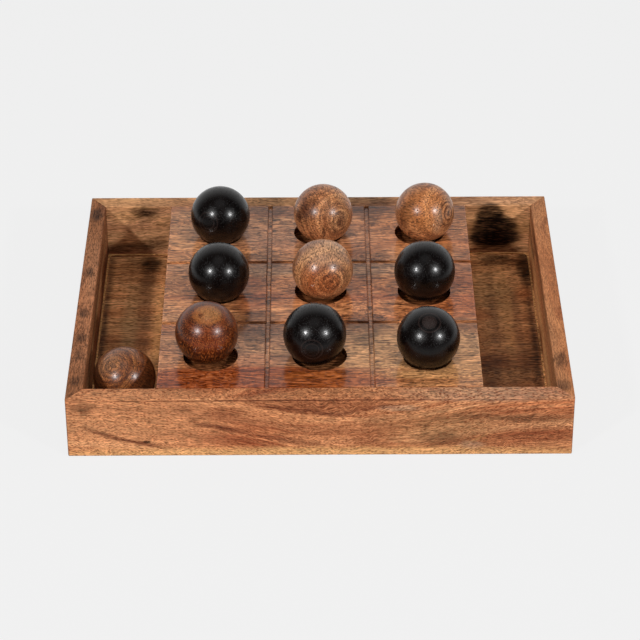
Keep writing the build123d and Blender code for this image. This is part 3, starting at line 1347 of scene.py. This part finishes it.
@dataclass
class Board:
    """The playing board: nine flat-bottomed recesses between four ragged V-grooves."""

    column_pitch: float = 65.6
    row_pitch: float = 71.1
    column_groove: float = COLUMN_GROOVE
    row_groove: float = 35.0
    groove_width: float = 3.2
    groove_floor: float = 1.9
    groove_depth: float = 1.4
    groove_wander: float = 0.22
    wander_length: float = 9.0
    recess_radius: float = 16.5
    recess_depth: float = 4.5
    recess_sides: int = 96
    # The spurs of the bit cut a ring round the floor, and its point a pit in the middle
    spur_width: float = 0.6
    spur_tip: float = 0.25
    spur_depth: float = 0.3
    point_radius: float = 1.2
    point_depth: float = 1.0
    edge: float = 0.25
    long_edge: float = 0.8
    # Below this depth, just under the grooves' floors, the board was left without oil
    oil_depth: float = 1.5
    # How far the hand-drilled bores stray from the grid, by column and row, and how much
    # smaller they are
    stray_bores: dict[tuple[int, int], Point] = field(
        default_factory=lambda: {
            (-1, 1): (2.4, -1.8, 3.0),
            (0, 1): (0.1, 0.3, 0.5),
            (1, 1): (-0.3, 0.0, 0.5),
            (-1, 0): (3.0, -0.4, 3.0),
            (0, 0): (1.0, 1.2, 0.3),
            (1, -1): (-0.6, -2.2, 1.7),
        }
    )

    def build(self) -> Piece:
        """Build the board.

        Returns:
            The board.
        """
        span = Span.of("play_board")
        x, y, low, top = span.high.x, span.high.y, span.low.z, span.high.z
        corners = [(-x, low, 0.0), (x, low, 0.0), (x, top, self.long_edge), (-x, top, self.long_edge)]
        outline = rounded(corners)
        rings = [[Vector((a, side, b)) for a, b in outline] for side in (-y, y)]
        board = add_piece(piece_name("play_board"), loft(rings))
        carve(board, [self._groove(True, side * self.column_groove, y, top) for side in (-1, 1)])
        carve(board, [self._groove(False, side * self.row_groove, x, top) for side in (-1, 1)])
        carve(board, [self._recesses(top)])
        ease(board, self.edge)
        smooth(board)
        return board

    def _groove(self, lengthwise: bool, offset: float, run: float, top: float) -> Piece:
        """Make the cutter for one groove, whose walls wander as the cutter did.

        Args:
            lengthwise: True for a groove from front to back, False for one from left to right.
            offset: how far it stands from the board's middle.
            run: half the board's length that way.
            top: the board's top.

        Returns:
            The cutter.
        """
        proud, overrun, pitch = 1.0, 3.0, 3.0
        # Each wall and the floor wander by a slice of the noise of their own
        slices = (0.5, 7.5, 14.5)
        half, floor = self.groove_width / 2, self.groove_floor / 2
        flare = proud * (self.groove_width - self.groove_floor) / 2 / self.groove_depth
        count = round(2 * (run + overrun) / pitch)
        rings = []
        for i in range(count + 1):
            t = (run + overrun) * (2 * i / count - 1)
            wander = [noise.noise(Vector((t / self.wander_length, offset, z))) for z in slices]
            left, right, deep = (self.groove_wander * value for value in wander)
            bottom = top - self.groove_depth + deep / 2
            section = [
                (-half - flare + left, top + proud),
                (-floor + left, bottom),
                (floor + right, bottom),
                (half + flare + right, top + proud),
            ]
            ring = [(offset + s, t, z) if lengthwise else (t, offset + s, z) for s, z in section]
            rings.append([Vector(point) for point in ring])
        return add_piece("groove", loft(rings))

    def _recesses(self, top: float) -> Piece:
        """Make the cutter for the nine recesses, with the spur's ring and the point's pit.

        Args:
            top: the board's top.

        Returns:
            The cutter.
        """
        shape = bmesh.new()
        for column in (-1, 0, 1):
            for row in (-1, 0, 1):
                right, back, less = self.stray_bores.get((column, row), (0.0, 0.0, 0.0))
                centre = Vector((column * self.column_pitch + right, row * self.row_pitch + back, 0))
                self._bore(shape, centre, self.recess_radius - less, top)
        return add_piece("recesses", shape)

    def _bore(self, shape: Shape, centre: Vector, radius: float, top: float) -> None:
        """Add one recess to the cutter.

        Args:
            shape: the cutter's shape.
            centre: the recess's middle, at height 0.
            radius: its radius.
            top: the board's top.
        """
        proud = 1.0
        floor = top - self.recess_depth
        profile = [
            (self.point_radius, floor),
            (radius - self.spur_width, floor),
            (radius - self.spur_tip, floor - self.spur_depth),
            (radius, floor - 0.5 * self.spur_depth),
            (radius, top + proud),
        ]
        pit = shape.verts.new(centre + Vector((0, 0, floor - self.point_depth)))
        rings = []
        for r, z in profile:
            turns = [2 * math.pi * i / self.recess_sides for i in range(self.recess_sides)]
            points = [Vector((r * math.cos(turn), r * math.sin(turn), z)) for turn in turns]
            rings.append([shape.verts.new(centre + point) for point in points])
        for i in range(self.recess_sides):
            j = (i + 1) % self.recess_sides
            shape.faces.new((pit, rings[0][j], rings[0][i]))
            for first, second in zip(rings, rings[1:]):
                shape.faces.new((first[i], first[j], second[j], second[i]))
        shape.faces.new(rings[-1])

    def dress(self, board: Piece) -> None:
        """Finish the board in grey-brown acacia with orange bands.

        Args:
            board: the board.
        """
        finish = WoodFinish(
            "play_board_acacia", BOARD_WOOD, seed=8, pith=(10.0, -140.0), ring_width=9.0,
            fibre_length=11.0, fibre_width=0.7, fibre_strength=0.9, pore_length=3.5, pore_width=0.65,
            spread=1.8, roughness=0.14, specular=0.37, relief=0.006,
            bare_below=BOARD_TOP - self.oil_depth, marks=BOARD_MARKS,
        )
        dress(board, finish, "play_board")


CAMERA_ELEVATION = 33.2


def facing(right: float, up: float) -> Vector:
    """Find the way out of a ball at a place on its outline's disc in the photograph.

    Args:
        right: how far right of the middle, as a share of the radius.
        up: how far above the middle.

    Returns:
        The way out, in the shared frame.
    """
    elevation = math.radians(CAMERA_ELEVATION)
    towards = Vector((0, -math.cos(elevation), math.sin(elevation)))
    above = Vector((0, math.sin(elevation), math.cos(elevation)))
    depth = math.sqrt(1 - right * right - up * up)
    return Vector((1, 0, 0)) * right + above * up + towards * depth


@dataclass(frozen=True)
class Knot:
    """A patch on a ball, placed as the photograph shows it, in shares of the ball's radius."""

    right: float
    up: float
    size: Pair
    tone: Tone
    strength: float = 0.7
    softness: float = 0.6
    ragged: float = 0.8
    rim: float = 0.0
    rings: float = 0.0
    depth: float = 0.5

    def spot(self, middle: Vector, radius: float) -> Spot:
        """Turn the patch into a spot on the ball.

        Args:
            middle: the ball's middle, in millimetres.
            radius: its radius.

        Returns:
            The spot, flat against the ball's surface.
        """
        out = facing(self.right, self.up)
        turn = Matrix.Identity(3)
        turn.col[2] = out
        turn.col[0] = Vector((1, 0, 0)).cross(out).cross(out).normalized() * -1
        turn.col[1] = out.cross(turn.col[0])
        tilt = tuple(math.degrees(a) for a in turn.to_euler())
        place = tuple(middle + out * radius)
        size = tuple(radius * share for share in (*self.size, self.depth))
        look = (self.strength, self.softness, self.ragged, self.rim)
        return Spot(place, size, self.tone, *look, tilt, self.rings)


@dataclass
class Ball:
    """One turned ball, a little out of round, with a small flat where it was parted off."""

    node: str
    timber: Timber
    pith: Pair
    seed: int
    # Where the grain comes to the surface, and the lathe's centre with it
    pole: Pair
    knots: tuple[Knot, ...] = ()
    pore_width: float = 0.85
    cuts: int = 40
    # How far out of round it is, and how many of the noise's cells lie along a radius
    roundness: float = 0.06
    lumps: float = 1.3
    # The least turn between two of its faces, in degrees, that would show as an edge
    edge_angle: float = 60.0
    flat_angle: float = 15.0
    flat_depth: float = 0.2

    def build(self) -> Piece:
        """Build the ball as a cube of quads blown up to a sphere.

        Returns:
            The ball.
        """
        span = Span.of(self.node)
        radius = span.size.z / 2
        pole = facing(*self.pole)
        shape = bmesh.new()
        bmesh.ops.create_cube(shape, size=2)
        bmesh.ops.subdivide_edges(shape, edges=shape.edges, cuts=self.cuts - 1, use_grid_fill=True)
        for vert in shape.verts:
            spread = Vector([math.tan(c * math.pi / 4) for c in vert.co]).normalized()
            lump = noise.noise(spread * self.lumps + Vector((self.seed, 0, 0)))
            wobble = self.roundness * (lump - 1) * 0.5
            off_pole = math.degrees(math.acos(min(1.0, abs(spread.dot(pole))))) / self.flat_angle
            flat = self.flat_depth * max(0.0, 1 - off_pole**2) ** 2
            vert.co = span.middle + spread * (radius + wobble - flat)
        piece = add_piece(piece_name(self.node), shape)
        smooth(piece, self.edge_angle)
        return piece

    def dress(self, piece: Piece) -> None:
        """Finish the ball, ebonised or oiled.

        Args:
            piece: the ball.
        """
        span = Span.of(self.node)
        dark = self.timber is EBONISED_WOOD
        finish = WoodFinish(
            f"{self.node}_{'ebonised' if dark else 'acacia'}",
            self.timber,
            self.seed,
            along=tuple(facing(*self.pole)),
            pith=self.pith,
            ring_width=5.0 if dark else 4.0,
            bend=5.0,
            wave=1.6,
            line_strength=0.3 if dark else 0.65,
            pore_length=3.2,
            pore_width=self.pore_width,
            pore_strength=0.3 if dark else 1.0,
            fibre_length=5.0,
            fibre_width=0.75,
            roughness=0.23 if dark else 0.28,
            specular=0.34 if dark else 0.4,
            relief=0.003 if dark else 0.02,
            marks=tuple(knot.spot(span.middle, span.size.z / 2) for knot in self.knots),
        )
        dress(piece, finish, self.node, self.node)


def turned(*pole: float) -> tuple[Knot, ...]:
    """Draw the turning rings round the pole of an ebonised ball."""
    return tuple(Knot(*pole, (r, r), Tone.WORN_STAIN, 0.7, 0.0, 0.1, 0.12) for r in (0.22, 0.34))


BALLS = [
    Ball("dark_ball_1", EBONISED_WOOD, (5, 8), 21, (-0.4, -0.28), turned(-0.4, -0.28)),
    Ball("dark_ball_2", EBONISED_WOOD, (9, 3), 22, (-0.1, -0.7)),
    Ball("dark_ball_3", EBONISED_WOOD, (4, 12), 23, (0.0, -0.6)),
    Ball("dark_ball_4", EBONISED_WOOD, (2, 3), 24, (-0.1, -0.5), turned(-0.1, -0.5)),
    Ball(
        "dark_ball_5", EBONISED_WOOD, (3, 2), 25, (0.0, 0.5),
        (Knot(0, 0.5, (0.2, 0.2), Tone.WORN_STAIN, 0.9, 0.35, 0.1), *turned(0.0, 0.5)),
    ),
    Ball(
        "light_ball_1", LIGHT_BALL_WOOD, (2, 1), 26, (0.5, -0.35),
        (
            Knot(-0.3, 0.35, (0.9, 0.6), Tone.GUM_LINE, 0.4, 0.7, 1.5, 0.0, 2.2),
            Knot(-0.55, 0.1, (0.34, 0.3), Tone.GUM_LINE, 0.75),
            Knot(-0.8, -0.1, (0.2, 0.3), Tone.GUM_LINE, 0.7),
            Knot(0.55, -0.35, (0.34, 0.5), Tone.GUM_LINE, 0.65, 0.6, 2.0, 0.0, 1.8),
            Knot(0.6, -0.32, (0.15, 0.2), Tone.GUM_LINE, 0.7),
            Knot(0.02, -0.7, (0.05, 0.3), Tone.GUM_LINE, 0.75),
        ),
    ),
    Ball(
        "light_ball_2", LIGHT_BALL_WOOD, (1, 2), 27, (0.78, -0.1),
        (
            Knot(-0.6, 0.05, (0.32, 0.3), Tone.SHADE, 0.8),
            Knot(-0.75, -0.3, (0.16, 0.3), Tone.GUM_LINE, 0.7),
            Knot(-0.1, 0.0, (0.8, 0.8), Tone.ORANGE_LIGHT, 0.5, 0.8),
            Knot(0.78, -0.08, (0.4, 0.45), Tone.GUM_LINE, 0.85, 0.2, 0.3, 0.0, 2.5),
            Knot(0.42, -0.3, (0.16, 0.5), Tone.GREY_SAP, 0.4, 0.8),
        ),
    ),
    Ball(
        "light_ball_3", LIGHT_BALL_WOOD, (2, -1), 28, (0.1, -0.45),
        (
            Knot(0.1, 0.55, (0.85, 0.55), Tone.GREY_SAP, 0.5, 0.6),
            Knot(-0.1, -0.5, (0.65, 0.5), Tone.ORANGE_HEART, 0.6, 0.6),
            Knot(0.3, -0.4, (0.45, 0.5), Tone.GUM_LINE, 0.7, 0.5, 2.2, 0.0, 2.2),
        ),
    ),
    Ball(
        "light_ball_4", HEART_BALL_WOOD, (1, 1), 29, (0.05, 0.62),
        (
            Knot(0.05, 0.6, (0.46, 0.38), Tone.ORANGE_LIGHT, 0.5, 0.3, 1.5),
            Knot(0.12, 0.64, (0.34, 0.28), Tone.OLIVE, 0.4, 0.6, 2.5),
            Knot(0.1, 0.6, (0.4, 0.34), Tone.GUM_LINE, 0.45, 0.3, 2.5, 0.0, 3.0),
            Knot(0.05, 0.6, (0.5, 0.42), Tone.GUM_LINE, 0.6, 0.0, 0.8, 0.12),
            Knot(-0.15, 0.55, (0.08, 0.08), Tone.GUM_LINE, 0.9),
            # The ball's left and right sides, darkened as painted shade
            Knot(-0.8, -0.1, (0.5, 0.8), Tone.BARK, 0.5, 0.8),
            Knot(0.8, 0.1, (0.3, 0.7), Tone.BARK, 0.4, 0.8),
            Knot(0.1, -0.45, (0.6, 0.4), Tone.RUSSET, 0.25, 0.7),
            # Its underside, darkened as painted shade
            Knot(0.0, -0.85, (0.9, 0.3), Tone.BARK, 0.6),
        ),
        pore_width=0.5,
    ),
    Ball(
        "light_ball_5", GREY_BALL_WOOD, (1, 1), 30, (-0.5, 0.3),
        (
            Knot(0.75, -0.2, (0.4, 0.6), Tone.GUM_LINE, 0.6, 0.8),
            Knot(-0.3, 0.4, (1.0, 0.8), Tone.GUM_LINE, 0.7, 0.5, 1.0, 0.0, 4.5),
            Knot(-0.5, 0.5, (0.6, 0.4), Tone.GREY_SAP, 0.22, 0.8, 2.0),
        ),
    ),
]


@dataclass(frozen=True)
class Lamp:
    """A soft round lamp, whose disc in reflections has a halo round it."""

    # The way to it from the tray's middle, and its share of the plain light
    way: Point
    light: float
    size: float
    halo: float
    # False where its disc stays out of reflections and its halo alone shows
    mirrored: bool = True


@dataclass
class Studio:
    """A pale floor, soft lamps beside the camera, and the camera at the photograph's place."""

    background: str = "#F0F0F0"
    floor_background: str = "#F5F5F5"
    paper: str = "#B8B8B8"
    floor_radius: float = 9000.0
    floor_lap: float = 2.0
    floor_glow: float = 0.9
    # The camera's shade on the floor: where along y it is full and gone, in metres, and how deep
    shade_start: float = -0.5
    shade_end: float = 0.1
    shade_depth: float = 0.75
    camera_place: Point = (-4.3, -1350.6, 902.5)
    camera_turn: Point = (56.834, 0.125, -0.287)
    lens: float = 144.2
    sensor: float = 36.0
    clip: Pair = (0.05, 60.0)
    lamp_distance: float = 2400.0
    lamps: tuple[Lamp, ...] = (
        Lamp((-0.53, -0.65, 0.545), 0.5, 190.0, 1.1),
        Lamp((0.63, -0.6, 0.49), 0.5, 190.0, 1.1),
        Lamp((0.0, -0.2, 0.98), 0.2, 900.0, 0.4, mirrored=False),
    )
    # Where a lamp's halo starts and is full, as the cosine of the angle off the lamp
    halo_edge: float = 0.9
    halo_core: float = 0.995
    room: float = 0.3
    camera_side: float = 0.03
    backdrop_way: Point = (0.0, 0.985, -0.174)
    backdrop_full: float = 0.7

    def build(self) -> None:
        """Build the floor, the lamps, the sky and the camera."""
        self._floor()
        self._sky()
        for number, lamp in enumerate(self.lamps, start=1):
            self._hang(number, lamp)
        data = bpy.data.cameras.new("camera")
        data.lens = self.lens
        data.sensor_width = self.sensor
        data.clip_start, data.clip_end = self.clip
        camera = bpy.data.objects.new("camera", data)
        camera.location = Vector(self.camera_place) * MM
        camera.rotation_euler = [math.radians(a) for a in self.camera_turn]
        bpy.context.scene.collection.objects.link(camera)
        bpy.context.scene.camera = camera
        bpy.context.scene.view_settings.view_transform = "Standard"

    @staticmethod
    def _seen(tree: Tree) -> tuple[Source, Source]:
        """Tell the rays that show a background from those that carry light.

        Args:
            tree: the node tree that takes the nodes.

        Returns:
            A value of 1 for glossy rays, and one of 1 for camera, glossy and transmission rays.
        """
        path = add_node(tree, "LightPath").outputs
        seen = path["Is Camera Ray"]
        for kind in ("Is Glossy Ray", "Is Transmission Ray"):
            seen = add_node(tree, "Math", {0: seen, 1: path[kind]}, operation="MAXIMUM")
        return path["Is Glossy Ray"], seen

    def _floor(self) -> None:
        """Lay the floor, which shows the background's colour and a soft part of the shadow.

        It is open under the tray and clear from below, so that the tray's underside can be seen.
        """
        low, high = (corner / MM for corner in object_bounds())
        left, right = low.x + self.floor_lap, high.x - self.floor_lap
        front, back = low.y + self.floor_lap, high.y - self.floor_lap
        corners = ((left, front), (right, front), (right, back), (left, back))
        shape = bmesh.new()
        under = [shape.verts.new((x, y, 0.0)) for x, y in corners]
        far = [shape.verts.new(vert.co.normalized() * self.floor_radius) for vert in under]
        for i in range(len(under)):
            j = (i + 1) % len(under)
            shape.faces.new((far[i], far[j], under[j], under[i]))
        floor = add_piece("floor", shape)
        material = bpy.data.materials.new("floor_paper")
        tree = blank_tree(material)
        glossy, seen = self._seen(tree)
        place = add_node(tree, "TexCoord").outputs["Object"]
        depth = add_node(tree, "SeparateXYZ", {0: place}).outputs[1]
        # The floor in front of the tray lies in the camera's shade, as the balls mirror it
        inputs = {0: depth, 1: self.shade_start, 2: self.shade_end, 3: self.shade_depth, 4: 0.0}
        shade = add_node(tree, "MapRange", inputs)
        shade = add_node(tree, "Math", {0: shade, 1: glossy}, operation="MULTIPLY")
        share = add_node(tree, "Math", {0: seen, 1: self.floor_glow}, operation="MULTIPLY")
        paper = add_node(tree, "BsdfDiffuse", {"Color": linear(self.paper)})
        bright = add_node(tree, "Emission", {"Color": linear(self.floor_background), "Strength": 1.0})
        inputs = {"Color": linear(self.background), "Strength": self.camera_side}
        dim = add_node(tree, "Emission", inputs)
        glow = add_node(tree, "MixShader", {0: shade, 1: bright, 2: dim})
        mixed = add_node(tree, "MixShader", {0: share, 1: paper, 2: glow})
        clear = add_node(tree, "BsdfTransparent")
        below = add_node(tree, "NewGeometry").outputs["Backfacing"]
        mixed = add_node(tree, "MixShader", {0: below, 1: mixed, 2: clear})
        add_node(tree, "OutputMaterial", {"Surface": mixed})
        floor.data.materials.append(material)
        floor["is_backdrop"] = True

    def _sky(self) -> None:
        """Light the room evenly, and show the pale background behind and the dim room in front."""
        world = bpy.data.worlds.new("studio")
        bpy.context.scene.world = world
        tree = blank_tree(world)
        glossy, seen = self._seen(tree)
        way = add_node(tree, "TexCoord").outputs["Generated"]
        behind = add_node(tree, "VectorMath", {0: way, 1: self.backdrop_way}, operation="DOT_PRODUCT")
        white, pale = (1, 1, 1, 1), linear(self.background)
        back = behind.outputs["Value"]
        inputs = {0: back, 1: 0.0, 2: self.backdrop_full, 3: self.camera_side, 4: pale[0]}
        glow = add_node(tree, "MapRange", inputs, interpolation_type="SMOOTHSTEP")
        for lamp in self.lamps:
            inputs = {0: way, 1: Vector(lamp.way).normalized()}
            near = add_node(tree, "VectorMath", inputs, operation="DOT_PRODUCT").outputs["Value"]
            inputs = {0: near, 1: self.halo_edge, 2: self.halo_core, 3: 0.0, 4: lamp.halo}
            halo = add_node(tree, "MapRange", inputs, interpolation_type="SMOOTHSTEP")
            glow = add_node(tree, "Math", {0: glow, 1: halo}, operation="ADD")
        room = add_node(tree, "Background", {"Color": white, "Strength": self.room})
        plain = add_node(tree, "Background", {"Color": pale, "Strength": 1.0})
        mirrored = add_node(tree, "Background", {"Color": white, "Strength": glow})
        shown = add_node(tree, "MixShader", {0: glossy, 1: plain, 2: mirrored})
        mixed = add_node(tree, "MixShader", {0: seen, 1: room, 2: shown})
        add_node(tree, "OutputWorld", {"Surface": mixed})

    def _hang(self, number: int, lamp: Lamp) -> None:
        """Hang one lamp, with the power that gives its share of plain light.

        Args:
            number: its number, for its name.
            lamp: the lamp.
        """
        distance = self.lamp_distance * MM
        data = bpy.data.lights.new(f"lamp_{number}", "AREA")
        data.shape = "DISK"
        data.size = lamp.size * MM
        data.energy = lamp.light * (math.pi * distance) ** 2
        hung = bpy.data.objects.new(f"lamp_{number}", data)
        hung.location = Vector(lamp.way).normalized() * distance
        hung.rotation_euler = (-hung.location).to_track_quat("-Z", "Y").to_euler()
        hung.visible_glossy = lamp.mirrored
        bpy.context.scene.collection.objects.link(hung)


def main() -> None:
    """Build and dress each sub-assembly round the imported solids."""
    logging.basicConfig(level=logging.INFO, format="%(message)s")
    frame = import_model()
    Studio().build()
    rails = Rails()
    rails.dress(rails.build())
    base = Base()
    base.dress(base.build(rails))
    dividers = Dividers()
    dividers.dress(dividers.build())
    board = Board()
    board.dress(board.build())
    for ball in BALLS:
        ball.dress(ball.build())
    steel = BradFinish().material()
    for node in ("mitre_brads", "base_brads"):
        brads = frame["nodes"][node]
        brads.data.materials.clear()
        brads.data.materials.append(steel)
        log.info("%s: packed solids in drawn steel", node)


if __name__ == "__main__":
    main()
